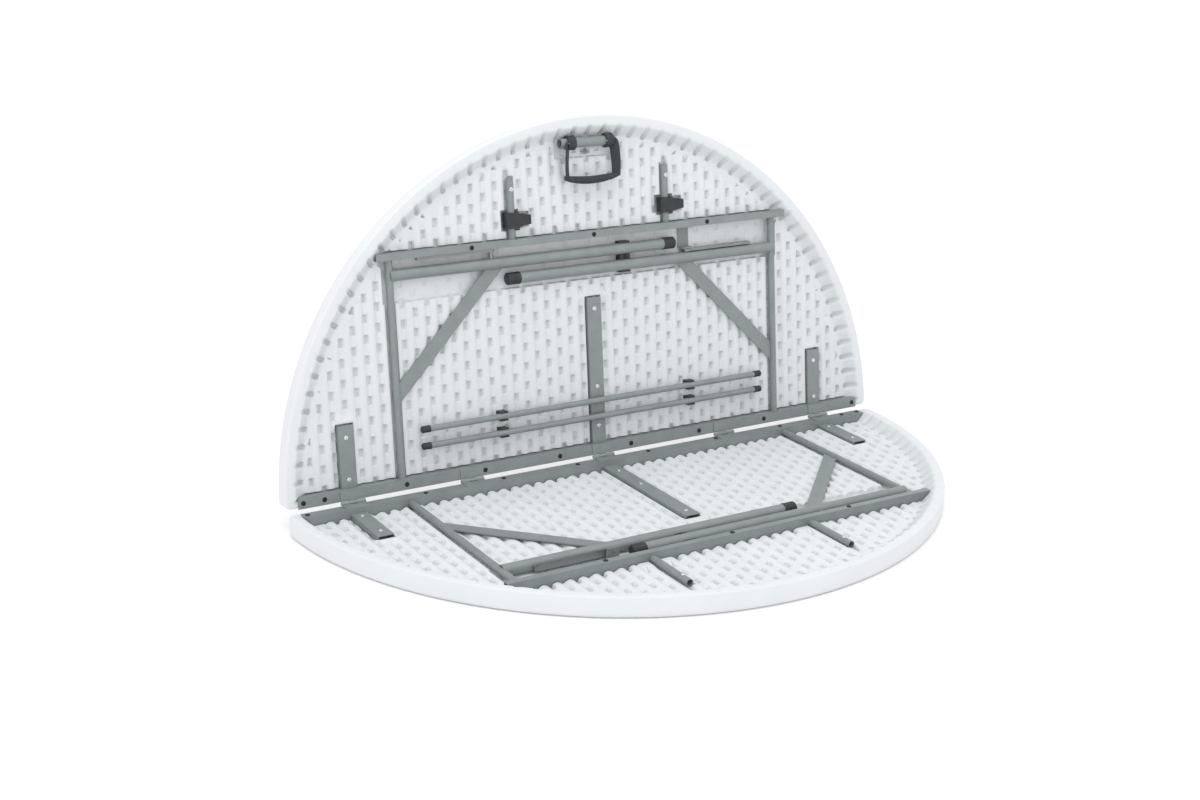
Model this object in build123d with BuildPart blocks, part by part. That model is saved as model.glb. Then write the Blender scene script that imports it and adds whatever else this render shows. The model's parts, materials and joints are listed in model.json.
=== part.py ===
"""Round fold-in-half table: two moulded half tops, steel rails and folding legs, carried by a handle.

The table lies with its lower half face down on the floor and its upper half swung up on the hinges.
Both halves are the same assembly. Each is drawn in its own frame and then placed by its home plane:
x runs along the hinge line, y from the hinge line towards the round rim, z out of the underside.
z = 0 is the plane of the rim, so a depth into the panel is a negative z.
"""

import os
from math import cos, radians, sin, sqrt

from build123d import *

os.makedirs("parts", exist_ok=True)

# ---------------------------------------------------------------- driving dimensions, mm and degrees
# the whole table
table_radius = 762.0
panel_thickness = 45.0
opening_angle = 83.0  # between the upper half and its flat, open place
rim_gap = 1.0  # between the two rims when the table is shut

# moulded panel
edge_inset = 7.5  # hinge line to the panel's straight edge
edge_radius = 10.0
corner_radius = 12.0
rim_width = 25.0
rim_slope_run = 29.0
recess_depth = 30.0
ridge_inner = 20.0  # straight ridge under the hinge rail

# fits
running_gap = 0.05  # radial, a shaft in its hole
fixed_gap = 0.05  # between pieces that are welded, screwed or pushed together
free_gap = 0.3  # between pieces that pass each other
rim_clearance = 0.5  # between a rail end and the rim's slope

# hinge rail, an angle along the straight edge
sheet = 1.5
rail_top = 2.5  # depth of the rails' top faces
hinge_rail_outer = 4.0
hinge_rail_inner = 28.0

# outer rail, an upturned channel
outer_rail_from_rim = 267.0  # rim to the rail's inner face
outer_rail_width = 15.0
outer_rail_end_inset = 8.0

# legs
crossbar_radius = 8.0
crossbar_wall = 1.5
crossbar_setback = 40.0  # rim mouth to crossbar axis, along the outer rail
crossbar_start = 22.0
crossbar_past_rail = 13.0
leg_floor_gap = 2.0  # under a folded leg
leg_radius = 12.5
leg_wall = 1.5
leg_length = 710.0
outer_leg_from_rail = 33.0
leg_spacing = 37.0
foot_wall = 1.0
foot_length = 32.0
foot_end = 4.0
foot_rounding = 2.5
tip_gap = 34.0  # tip of one folded leg to the other leg's stay pin
brace_tip_gap = 17.0  # tip of one folded leg to the other leg's brace
brace_width = 30.0
brace_sheet = 3.0

# folding stays
link_sheet = 2.5
link_end_radius = 8.0
pin_radius = 3.0
pin_shoulder_radius = 5.0
rivet_head = 1.0
carrier_gap = 1.2  # stay link to the rail or ear that carries it
pin_play = 0.2
bracket_width = 30.0
bracket_top = 6.0
bracket_tab_top = 8.0

# support bars
bar_width = 35.0
bar_top = 14.0
centre_bar_end = 361.0
end_bar_end = 162.0
centre_screw_inset = 39.0  # hinge rail to the centre bar's first screw
centre_screw_offset = 23.0  # its second screw, short of the bar's middle
centre_screw_end = 26.0  # its last screw, short of the bar's end
end_bar_screw_y = 45.0
end_bar_screw_end = 27.0

# hinges
hinge_width = 54.0
hinge_end_inset = 124.0  # rail mouth to the last hinge
inner_hinge_shift = 27.0  # inner hinges stand this far outside the middle of their bay
leaf_sheet = 2.0
leaf_outer = 9.0
leaf_inner = 26.0
barrel_radius = 4.2
hinge_pin_radius = 2.5
barrel_half = 8.7
leaf_margin = 2.0  # of a leaf's plate past its rivets' band, on both sides

# stub tubes behind the outer rail, with their latches
stub_x = 198.0
stub_radius = 8.0
stub_wall = 1.5
stub_floor_gap = 5.0
stub_start = 5.0  # inside the rail
stub_length = 141.0
stub_screw_from_end = 24.0
latch_from_rail = 23.0
latch_length = 34.0
latch_side_wall = 8.0
latch_wall = 4.7
latch_tail = 43.0
latch_tail_root = 32.0
latch_tail_length = 20.0  # at the tip
latch_pocket_drop = 6.5  # of the pocket below the floor, where a latch turns
latch_pocket_side = 5.0
latch_pocket_end = 2.0
latch_rounding = 5.0

# leg clip
clip_from_foot = 134.0
clip_width = 26.0
clip_wall = 3.5
clip_grip = 4.5  # of the cradle above a leg's axis

# carrying handle
handle_from_rim = 57.0
handle_floor_gap = 4.0  # under a collar
handle_bar_radius = 11.0
handle_bar_wall = 2.0
handle_bar_left = 74.0
handle_bar_right = 62.0
handle_tab_width = 24.0
handle_tab_sheet = 2.0
handle_tab_reach = 16.0  # past the bar, along the floor
handle_tab_screw = 9.0  # bar to the tab's screw
collar_radius = 16.0
collar_inner = 38.0
collar_width = 20.0
strap_width = 22.0
strap_sheet = 4.0
grip_half = 68.0
grip_drop = 91.0
grip_rise = 13.0
grip_height = 17.0
grip_depth = 15.0
grip_front = 17.0
grip_taper = 3.0  # how far the grip's ends lean in
collar_screw_radius = 1.0
collar_screw_head_radius = 2.0
collar_screw_head = 1.0
handle_pocket_margin = 8.0

# tie rods
rod_radius = 6.75
rod_wall = 1.2
rod_depth = 4.0
rod_cap_length = 20.0
rod_cap_wall = 0.7
rod_cap_end = 2.0
rod_end_room = 38.7  # each end to the crossbar beside it
rod_first_y = 91.0
rod_pitch = 37.0
rod_clip_x = 246.0
rod_clip_width = 18.0
rod_clip_wall = 3.5
rod_clip_top = 1.0

# fasteners
screw_radius = 2.1
screw_head_radius = 4.0
screw_head = 1.8
screw_bite = 8.0
rail_screw_pitch = 188.0
rail_screw_y = 16.0
end_screw_inset = 15.0
second_screw_inset = 62.0
outer_rail_screws = 3
outer_rail_screw_pitch = 303.0
rivet_radius = 2.0
rivet_offset = 17.0  # along the hinge, from the middle of the leaf
rivet_edge = 4.0
rivet_head_rim = 1.0
screw_tip_gap = 1.0  # tip to the bottom of its hole
screw_to_leaf = 2.0

# ---------------------------------------------------------------- worked-out places
mouth_radius = table_radius - rim_width
floor_radius = mouth_radius - rim_slope_run
tube_depth = recess_depth - leg_floor_gap - leg_radius  # axis of every leg tube and crossbar
foot_radius = leg_radius + foot_wall
stub_depth = recess_depth - stub_floor_gap - stub_radius
latch_block_half = stub_radius + latch_side_wall
latch_half_height = stub_radius + latch_wall
latch_pocket_depth = recess_depth + latch_pocket_drop
clip_top = tube_depth - clip_grip
handle_depth = recess_depth - handle_floor_gap - collar_radius
outer_rail_y = table_radius - outer_rail_from_rim
outer_rail_far_y = outer_rail_y + outer_rail_width
pivot_x = sqrt(mouth_radius**2 - outer_rail_far_y**2) - crossbar_setback
outer_rail_half = sqrt(mouth_radius**2 - outer_rail_far_y**2) - outer_rail_end_inset
outer_leg_y = outer_rail_y - outer_leg_from_rail
inner_leg_y = outer_leg_y - leg_spacing
reach = 2 * pivot_x - leg_length - tip_gap  # pivot to stay pin
brace_reach = 2 * pivot_x - leg_length - brace_tip_gap  # pivot to the brace's middle, on the leg
link_length = reach / sqrt(2)
crossbar_end = outer_rail_y + crossbar_past_rail
end_hinge_x = mouth_radius - hinge_end_inset
inner_hinge_x = end_hinge_x / 2 + inner_hinge_shift
hinge_xs = [-end_hinge_x, -inner_hinge_x, 0, inner_hinge_x, end_hinge_x]
leaf_top = rail_top - leaf_sheet
latch_y = outer_rail_far_y + latch_from_rail
stub_y = outer_rail_y + stub_start
stub_end = stub_y + stub_length
rod_length = 2 * (pivot_x - crossbar_radius - rod_end_room)
rod_ys = [rod_first_y, rod_first_y + rod_pitch]
clip_x = leg_length - pivot_x - clip_from_foot
handle_y = table_radius - handle_from_rim
ear_y = inner_leg_y + leg_radius + rivet_head + 3 * free_gap + carrier_gap + 2 * link_sheet
hinge_y = table_radius / 2  # the origin is the middle of the lower half's face

# each half's home plane
tilt = radians(opening_angle)
upper_out = Vector(0, -sin(tilt), cos(tilt))
hinge_centre = Vector(0, hinge_y, panel_thickness + rim_gap / 2)
lower_home = Plane(origin=(0, hinge_y, panel_thickness), x_dir=(-1, 0, 0), z_dir=(0, 0, 1))
upper_home = Plane(origin=hinge_centre - upper_out * (rim_gap / 2), x_dir=(1, 0, 0), z_dir=upper_out)
homes = {"lower": lower_home, "upper": upper_home}


def crosswise(y):
    """A plane square to y. Its local x is x and its local y is the depth."""
    return Plane(origin=(0, y, 0), x_dir=(1, 0, 0), z_dir=(0, 1, 0))


def lengthwise(x):
    """A plane square to x. Its local x is y and its local y is the height."""
    return Plane(origin=(x, 0, 0), x_dir=(0, 1, 0), z_dir=(1, 0, 0))


def from_above(depth):
    """A plane parallel to the rim, at a depth. Its local x and y are x and y."""
    return Plane.XY.offset(-depth)


def deliver(piece, name, home):
    """Puts a finished piece in its place in the table and writes it."""
    piece.part = piece.part.moved(home.location)
    piece.part.label = name
    export_step(piece.part, f"parts/{name}.step")


# ---------------------------------------------------------------- fastener places
def hinge_rail_screw_xs():
    """Evenly pitched along the rail, and one near each end, but none under a hinge leaf."""
    last = mouth_radius - end_screw_inset
    first = second_screw_inset - mouth_radius
    count = int((last - first) / rail_screw_pitch) + 1
    wanted = [-last, last] + [first + i * rail_screw_pitch for i in range(count)]
    leaf_room = hinge_width / 2 + screw_head_radius + screw_to_leaf
    return [x for x in wanted if all(abs(x - hinge) > leaf_room for hinge in hinge_xs)]


hinge_rail_points = [(x, rail_screw_y) for x in hinge_rail_screw_xs()]
outer_rail_points = [
    ((i - (outer_rail_screws - 1) / 2) * outer_rail_screw_pitch, outer_rail_y + outer_rail_width / 2)
    for i in range(outer_rail_screws)
]
centre_bar_points = [
    (0, y)
    for y in (
        hinge_rail_inner + centre_screw_inset,
        centre_bar_end / 2 - centre_screw_offset,
        centre_bar_end - centre_screw_end,
    )
]
end_bar_points = [
    (side * end_hinge_x, y) for side in (-1, 1) for y in (end_bar_screw_y, end_bar_end - end_bar_screw_end)
]
stub_points = [(side * stub_x, stub_end - stub_screw_from_end) for side in (-1, 1)]
clip_point = (clip_x, (outer_leg_y + inner_leg_y) / 2)
rivet_points = [
    (x + side * rivet_offset, y)
    for x in hinge_xs
    for side, y in ((-1, leaf_inner - rivet_edge), (1, leaf_outer + rivet_edge))
]
handle_tab_point = (0, handle_y - handle_bar_radius - handle_tab_screw)


def rods(points, radius, top_depth, bottom_depth):
    """Round rods square to the panel, one at each point."""
    with BuildPart() as group:
        with BuildSketch(from_above(top_depth)):
            with Locations(*points):
                Circle(radius)
        extrude(amount=top_depth - bottom_depth)
    return group.part


def screws_at(points, seat_depth, bottom_depth):
    """Pan-head screws whose heads sit on seat_depth and whose tips reach bottom_depth."""
    with BuildPart() as group:
        add(rods(points, screw_head_radius, seat_depth - screw_head, seat_depth))
        add(rods(points, screw_radius, seat_depth, bottom_depth))
    return group.part


def holes_at(points, top_depth, bottom_depth):
    """What a drill takes out for the shanks of the screws at points."""
    return rods(points, screw_radius + fixed_gap, top_depth, bottom_depth)


# ---------------------------------------------------------------- moulded panel
def rim_room(clearance):
    """The space inside the rim's sloping wall, less a clearance."""
    with BuildPart() as room:
        with BuildSketch(Plane.XZ):
            Polygon(
                (0, 1),
                (mouth_radius - clearance + rim_slope_run / recess_depth, 1),
                (floor_radius - clearance, -recess_depth),
                (0, -recess_depth),
                align=None,
            )
        revolve(axis=Axis.Z, revolution_arc=180)
    return room.part


def make_recess():
    """The hollow of the underside, which leaves the straight ridge that carries the hinge rail."""
    ledge = rail_top + sheet
    with BuildPart() as recess:
        add(rim_room(0))
        with BuildSketch(from_above(ledge)):
            Rectangle(2 * table_radius, 2 * ridge_inner)
        extrude(amount=ledge - recess_depth - 1, mode=Mode.SUBTRACT)
    return recess.part


def make_panel():
    """Half of the round top, with its rim, its hollow underside, its pockets and its screw holes."""
    recess = make_recess()
    ledge = rail_top + sheet
    screw_end = recess_depth + screw_bite
    handle_room = collar_radius + handle_pocket_margin / 2
    with BuildPart() as panel:
        with BuildSketch() as outline:
            Circle(table_radius)
            with Locations((0, edge_inset)):
                Rectangle(
                    3 * table_radius, 3 * table_radius, align=(Align.CENTER, Align.MAX), mode=Mode.SUBTRACT
                )
            fillet(outline.vertices(), radius=corner_radius)
        extrude(amount=-panel_thickness)
        fillet(panel.faces().sort_by(Axis.Z)[0].edges(), radius=edge_radius)
        add(recess, mode=Mode.SUBTRACT)
        with BuildSketch(from_above(recess_depth - 1)):
            with Locations((-stub_x, latch_y + latch_length / 2), (stub_x, latch_y + latch_length / 2)):
                Rectangle(
                    2 * (latch_block_half + latch_pocket_side), latch_length + 2 * latch_pocket_end
                )
        extrude(amount=recess_depth - 1 - latch_pocket_depth, mode=Mode.SUBTRACT)
        with BuildSketch(from_above(0)):
            with Locations(((handle_bar_right - handle_bar_left) / 2, handle_y + handle_room)):
                Rectangle(
                    handle_bar_left + handle_bar_right + 2 * handle_pocket_margin,
                    2 * handle_room,
                    align=(Align.CENTER, Align.MAX),
                )
        extrude(amount=-recess_depth, mode=Mode.SUBTRACT)
        add(holes_at(hinge_rail_points, 0, ledge + screw_bite), mode=Mode.SUBTRACT)
        floor_points = outer_rail_points + centre_bar_points + end_bar_points
        add(holes_at(floor_points, 0, screw_end), mode=Mode.SUBTRACT)
        add(holes_at(stub_points + [clip_point, handle_tab_point], 0, screw_end), mode=Mode.SUBTRACT)
    return panel


# ---------------------------------------------------------------- rails and bars
def make_hinge_rail():
    """An angle: a flange on the straight ridge and a web standing in the hollow behind it."""
    with BuildPart() as rail:
        with BuildSketch(lengthwise(-mouth_radius)):
            Polygon(
                (hinge_rail_outer, -rail_top),
                (hinge_rail_inner, -rail_top),
                (hinge_rail_inner, -recess_depth),
                (hinge_rail_inner - sheet, -recess_depth),
                (hinge_rail_inner - sheet, -rail_top - sheet),
                (hinge_rail_outer, -rail_top - sheet),
                align=None,
            )
        extrude(amount=2 * mouth_radius)
        add(rim_room(rim_clearance), mode=Mode.INTERSECT)
        with BuildSketch(crosswise(crossbar_start - fixed_gap)):
            with Locations((-pivot_x, tube_depth), (pivot_x, tube_depth)):
                Circle(crossbar_radius + running_gap)
        extrude(amount=hinge_rail_inner + sheet - crossbar_start, mode=Mode.SUBTRACT)
        add(holes_at(hinge_rail_points, 0, recess_depth / 2), mode=Mode.SUBTRACT)
        add(rods(rivet_points, rivet_radius + fixed_gap, 0, recess_depth / 2), mode=Mode.SUBTRACT)
    return rail


def make_outer_rail():
    """An upturned channel across the half, its ends cut back to the slope of the rim."""
    middle = outer_rail_y + outer_rail_width / 2
    stay_x = reach - pivot_x
    with BuildPart() as rail:
        with BuildSketch(lengthwise(-outer_rail_half)):
            with Locations((middle, -rail_top)):
                Rectangle(outer_rail_width, recess_depth - rail_top, align=(Align.CENTER, Align.MAX))
            with Locations((middle, -rail_top - sheet)):
                Rectangle(
                    outer_rail_width - 2 * sheet,
                    recess_depth,
                    align=(Align.CENTER, Align.MAX),
                    mode=Mode.SUBTRACT,
                )
        extrude(amount=2 * outer_rail_half)
        add(rim_room(rim_clearance), mode=Mode.INTERSECT)
        with BuildSketch(crosswise(outer_rail_y - sheet)):
            with Locations((-pivot_x, tube_depth), (pivot_x, tube_depth)):
                Circle(crossbar_radius + running_gap)
        extrude(amount=sheet + crossbar_past_rail + fixed_gap, mode=Mode.SUBTRACT)
        with BuildSketch(crosswise(outer_rail_y - sheet)):
            with Locations((stay_x, tube_depth)):
                Circle(pin_radius + running_gap)
        extrude(amount=3 * sheet, mode=Mode.SUBTRACT)
        with BuildSketch(crosswise(stub_y - fixed_gap)):
            with Locations((-stub_x, stub_depth), (stub_x, stub_depth)):
                Circle(stub_radius + fixed_gap)
        extrude(amount=outer_rail_far_y + sheet - stub_y, mode=Mode.SUBTRACT)
        add(holes_at(outer_rail_points, 0, recess_depth / 2), mode=Mode.SUBTRACT)
    return rail


def make_bars(centres, end_y, points):
    """Upturned channels that stand on the panel's floor, from the hinge rail's web to end_y."""
    with BuildPart() as bars:
        with BuildSketch(crosswise(hinge_rail_inner + fixed_gap)):
            with Locations(*[(x, recess_depth) for x in centres]):
                Rectangle(bar_width, recess_depth - bar_top, align=(Align.CENTER, Align.MAX))
                Rectangle(
                    bar_width - 2 * sheet,
                    recess_depth - bar_top - sheet,
                    align=(Align.CENTER, Align.MAX),
                    mode=Mode.SUBTRACT,
                )
        extrude(amount=end_y - hinge_rail_inner - fixed_gap)
        add(holes_at(points, 0, bar_top + 2 * sheet), mode=Mode.SUBTRACT)
    return bars


def make_stay_bracket():
    """A bent strap from the outer rail along the floor to an ear that carries the inner leg's stay."""
    ear_far = ear_y + link_sheet
    with BuildPart() as bracket:
        with BuildSketch(lengthwise(pivot_x - reach - bracket_width / 2)):
            Polygon(
                (ear_y, -bracket_top),
                (ear_far, -bracket_top),
                (ear_far, sheet - recess_depth),
                (outer_rail_y - sheet, sheet - recess_depth),
                (outer_rail_y - sheet, -bracket_tab_top),
                (outer_rail_y, -bracket_tab_top),
                (outer_rail_y, -recess_depth),
                (ear_y, -recess_depth),
                align=None,
            )
        extrude(amount=bracket_width)
        with BuildSketch(crosswise(ear_y - sheet)):
            with Locations((pivot_x - reach, tube_depth)):
                Circle(pin_radius + running_gap)
        extrude(amount=link_sheet + 2 * sheet, mode=Mode.SUBTRACT)
    return bracket


# ---------------------------------------------------------------- legs
def make_crossbar(side):
    """The tube that a leg turns on. It runs in holes in both rails."""
    with BuildPart() as crossbar:
        with BuildSketch(crosswise(crossbar_start)):
            with Locations((side * pivot_x, tube_depth)):
                Circle(crossbar_radius)
                Circle(crossbar_radius - crossbar_wall, mode=Mode.SUBTRACT)
        extrude(amount=crossbar_end - crossbar_start)
    return crossbar


def make_leg(side, leg_y):
    """A leg tube, saddled on its crossbar at one end, with a cross hole for the stay's pin."""
    with BuildPart() as leg:
        with BuildSketch(Plane(origin=(side * pivot_x, leg_y, -tube_depth), z_dir=(-side, 0, 0))):
            Circle(leg_radius)
            Circle(leg_radius - leg_wall, mode=Mode.SUBTRACT)
        extrude(amount=leg_length - foot_end - fixed_gap)
        with BuildSketch(crosswise(leg_y - 2 * leg_radius)):
            with Locations((side * pivot_x, tube_depth)):
                Circle(crossbar_radius + fixed_gap)
            with Locations((side * (pivot_x - reach), tube_depth)):
                Circle(pin_radius + running_gap)
        extrude(amount=4 * leg_radius, mode=Mode.SUBTRACT)
    return leg


def make_brace(side, leg_y):
    """A flat bar at 45 degrees between a crossbar and its leg, cut square to each tube."""
    bar_side = crossbar_radius + fixed_gap
    leg_side = leg_radius + fixed_gap
    half_cut = brace_width / sqrt(2)
    with BuildPart() as brace:
        with BuildSketch(from_above(tube_depth + brace_sheet / 2)):
            Polygon(
                (side * (pivot_x - bar_side), leg_y - brace_reach + bar_side - half_cut),
                (side * (pivot_x - bar_side), leg_y - brace_reach + bar_side + half_cut),
                (side * (pivot_x - brace_reach + leg_side + half_cut), leg_y - leg_side),
                (side * (pivot_x - brace_reach + leg_side - half_cut), leg_y - leg_side),
                align=None,
            )
        extrude(amount=brace_sheet)
    return brace


def make_foot(side, leg_y):
    """A cup pushed over the end of a leg tube."""
    with BuildPart() as foot:
        tip = Plane(origin=(side * (pivot_x - leg_length), leg_y, -tube_depth), z_dir=(side, 0, 0))
        with BuildSketch(tip):
            Circle(foot_radius)
        extrude(amount=foot_length)
        fillet(foot.faces().sort_by(Axis.X)[-1 if side < 0 else 0].edges(), radius=foot_rounding)
        with BuildSketch(tip.offset(foot_end)):
            Circle(leg_radius + fixed_gap)
        extrude(amount=foot_length, mode=Mode.SUBTRACT)
    return foot


def make_link(side, y, rivet_x, pin_x, pin_from, pin_to, shoulder_to, head_side):
    """A flat stay link, with a pin to turn in a leg or a rail, and a rivet head at the knuckle."""
    with BuildPart() as link:
        with BuildSketch(crosswise(y)):
            with Locations((side * (rivet_x + pin_x) / 2, tube_depth)):
                SlotCenterToCenter(abs(pin_x - rivet_x), 2 * link_end_radius)
        extrude(amount=link_sheet)
        with BuildSketch(crosswise(pin_from)):
            with Locations((side * pin_x, tube_depth)):
                Circle(pin_radius)
        extrude(amount=pin_to - pin_from)
        with BuildSketch(crosswise(pin_from)):
            with Locations((side * pin_x, tube_depth)):
                Circle(pin_shoulder_radius)
        extrude(amount=shoulder_to - pin_from)
        with BuildSketch(crosswise(y + link_sheet if head_side > 0 else y - rivet_head)):
            with Locations((side * rivet_x, tube_depth)):
                Circle(pin_shoulder_radius)
        extrude(amount=rivet_head)
    return link


def make_rail_link(side, carrier_y, carrier_sheet):
    """The stay link that turns on the rail or on the bracket's ear."""
    y = carrier_y - carrier_gap - link_sheet
    pin_x = pivot_x - reach
    knuckle_x = pin_x + link_length
    pin_end = carrier_y + carrier_sheet
    shoulder_end = carrier_y - pin_play
    return make_link(side, y, knuckle_x, pin_x, y + link_sheet, pin_end, shoulder_end, 1)


def make_leg_link(side, carrier_y, leg_y):
    """The stay link that turns on the leg."""
    y = carrier_y - carrier_gap - free_gap - 2 * link_sheet
    pin_x = pivot_x - reach
    return make_link(
        side, y, pin_x + link_length, pin_x, y, leg_y - leg_radius / 2, leg_y + leg_radius + pin_play, -1
    )


def make_leg_clip():
    """A double cradle on the floor. Both folded legs press down into it."""
    low = inner_leg_y - leg_radius - free_gap - clip_wall
    high = outer_leg_y + leg_radius + free_gap + clip_wall
    with BuildPart() as clip:
        with BuildSketch(lengthwise(clip_x - clip_width / 2)):
            with Locations(((low + high) / 2, -recess_depth)):
                Rectangle(high - low, recess_depth - clip_top, align=(Align.CENTER, Align.MIN))
            for leg_y in (inner_leg_y, outer_leg_y):
                with Locations((leg_y, -tube_depth)):
                    Circle(leg_radius + free_gap, mode=Mode.SUBTRACT)
                    Rectangle(
                        2 * (leg_radius + free_gap),
                        2 * tube_depth,
                        align=(Align.CENTER, Align.MIN),
                        mode=Mode.SUBTRACT,
                    )
        extrude(amount=clip_width)
        add(holes_at([clip_point], 0, recess_depth + 1), mode=Mode.SUBTRACT)
    return clip


# ---------------------------------------------------------------- hinges
def make_hinge_leaves(middle_knuckle):
    """Five leaves. One half's have the middle knuckle and the other half's have the two outer ones."""
    ear_length = hinge_width / 2 - barrel_half - free_gap
    if middle_knuckle:
        knuckles = [(0, 2 * barrel_half)]
    else:
        knuckles = [(s * (hinge_width - ear_length) / 2, ear_length) for s in (-1, 1)]
    with BuildPart() as leaves:
        for hinge_x in hinge_xs:
            with BuildSketch(from_above(rail_top)):
                with Locations((hinge_x, (leaf_outer + leaf_inner) / 2)):
                    Rectangle(hinge_width, leaf_inner - leaf_outer + 2 * leaf_margin)
            extrude(amount=leaf_sheet)
            for offset, length in knuckles:
                start = hinge_x + offset - length / 2
                with BuildSketch(from_above(rail_top)):
                    with Locations((hinge_x + offset, 0)):
                        Rectangle(length, leaf_outer, align=(Align.CENTER, Align.MIN))
                extrude(amount=leaf_sheet)
                with BuildSketch(lengthwise(start)):
                    with Locations((0, rim_gap / 2)):
                        Circle(barrel_radius)
                extrude(amount=length)
            with BuildSketch(lengthwise(hinge_x - hinge_width / 2)):
                with Locations((0, rim_gap / 2)):
                    Circle(hinge_pin_radius + running_gap)
            extrude(amount=hinge_width, mode=Mode.SUBTRACT)
        add(rods(rivet_points, rivet_radius + fixed_gap, 0, recess_depth / 2), mode=Mode.SUBTRACT)
    return leaves


def make_hinge_rivets():
    """The rivets that hold the leaves to the rail."""
    with BuildPart() as rivets:
        add(rods(rivet_points, rivet_radius, leaf_top, rail_top + sheet))
        add(rods(rivet_points, rivet_radius + rivet_head_rim, 0, leaf_top))
    return rivets


def make_hinge_pins():
    """The five pins on the hinge line."""
    with BuildPart() as pins:
        for hinge_x in hinge_xs:
            with BuildSketch(lengthwise(hinge_x - hinge_width / 2)):
                with Locations((0, rim_gap / 2)):
                    Circle(hinge_pin_radius)
            extrude(amount=hinge_width)
    return pins


# ---------------------------------------------------------------- stub tubes and latches
def make_stub_tubes():
    """Two short tubes that run from inside the outer rail towards the rim."""
    with BuildPart() as stubs:
        with BuildSketch(crosswise(stub_y)):
            with Locations((-stub_x, stub_depth), (stub_x, stub_depth)):
                Circle(stub_radius)
                Circle(stub_radius - stub_wall, mode=Mode.SUBTRACT)
        extrude(amount=stub_length)
        add(holes_at(stub_points, 0, recess_depth), mode=Mode.SUBTRACT)
    return stubs


def make_latch(side):
    """A clip that turns on a stub tube. Its forked tail can hold the other half's stub tube."""
    fork_reach = 2 * stub_depth + rim_gap
    middle_y = latch_y + latch_length / 2
    with BuildPart() as latch:
        with BuildSketch(crosswise(latch_y)) as body:
            with Locations((side * stub_x, stub_depth)):
                Rectangle(2 * latch_block_half, 2 * latch_half_height)
            fillet(body.vertices(), radius=latch_rounding)
        extrude(amount=latch_length)
        with BuildSketch(from_above(stub_depth - latch_half_height)):
            Polygon(
                (side * stub_x, middle_y - latch_tail_root / 2),
                (side * stub_x + latch_tail, middle_y - latch_tail_length / 2),
                (side * stub_x + latch_tail, middle_y + latch_tail_length / 2),
                (side * stub_x, middle_y + latch_tail_root / 2),
                align=None,
            )
        extrude(amount=-2 * latch_half_height)
        with BuildSketch(crosswise(latch_y - 1)):
            with Locations((side * stub_x, stub_depth)):
                Circle(stub_radius + running_gap)
            with Locations((side * stub_x + fork_reach, stub_depth)):
                Circle(stub_radius + free_gap)
                Rectangle(latch_tail, 2 * (stub_radius + free_gap), align=(Align.MIN, Align.CENTER))
        extrude(amount=latch_length + 2, mode=Mode.SUBTRACT)
    return latch


# ---------------------------------------------------------------- carrying handle
handle_centre = upper_home.location * Location((0, handle_y, -handle_depth))
handle_home = Plane(origin=handle_centre.position, x_dir=(1, 0, 0), z_dir=upper_out)


def make_handle_bar():
    """The tube that the handle hangs on, welded to a small foot screwed to the panel."""
    tab_top = handle_depth + handle_bar_radius / 2
    with BuildPart() as bar:
        with BuildSketch(lengthwise(-handle_bar_left)):
            with Locations((handle_y, -handle_depth)):
                Circle(handle_bar_radius)
        extrude(amount=handle_bar_left + handle_bar_right)
        with BuildSketch(from_above(recess_depth)):
            with Locations((0, handle_y)):
                Rectangle(handle_tab_width, handle_tab_sheet)
        extrude(amount=recess_depth - tab_top)
        with BuildSketch(from_above(recess_depth)):
            with Locations((0, handle_y)):
                Rectangle(
                    handle_tab_width, handle_bar_radius + handle_tab_reach, align=(Align.CENTER, Align.MAX)
                )
        extrude(amount=handle_tab_sheet)
        with BuildSketch(lengthwise(-handle_bar_left)):
            with Locations((handle_y, -handle_depth)):
                Circle(handle_bar_radius - handle_bar_wall)
        extrude(amount=handle_bar_left + handle_bar_right, mode=Mode.SUBTRACT)
        add(holes_at([handle_tab_point], 0, recess_depth + 1), mode=Mode.SUBTRACT)
    return bar


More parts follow.
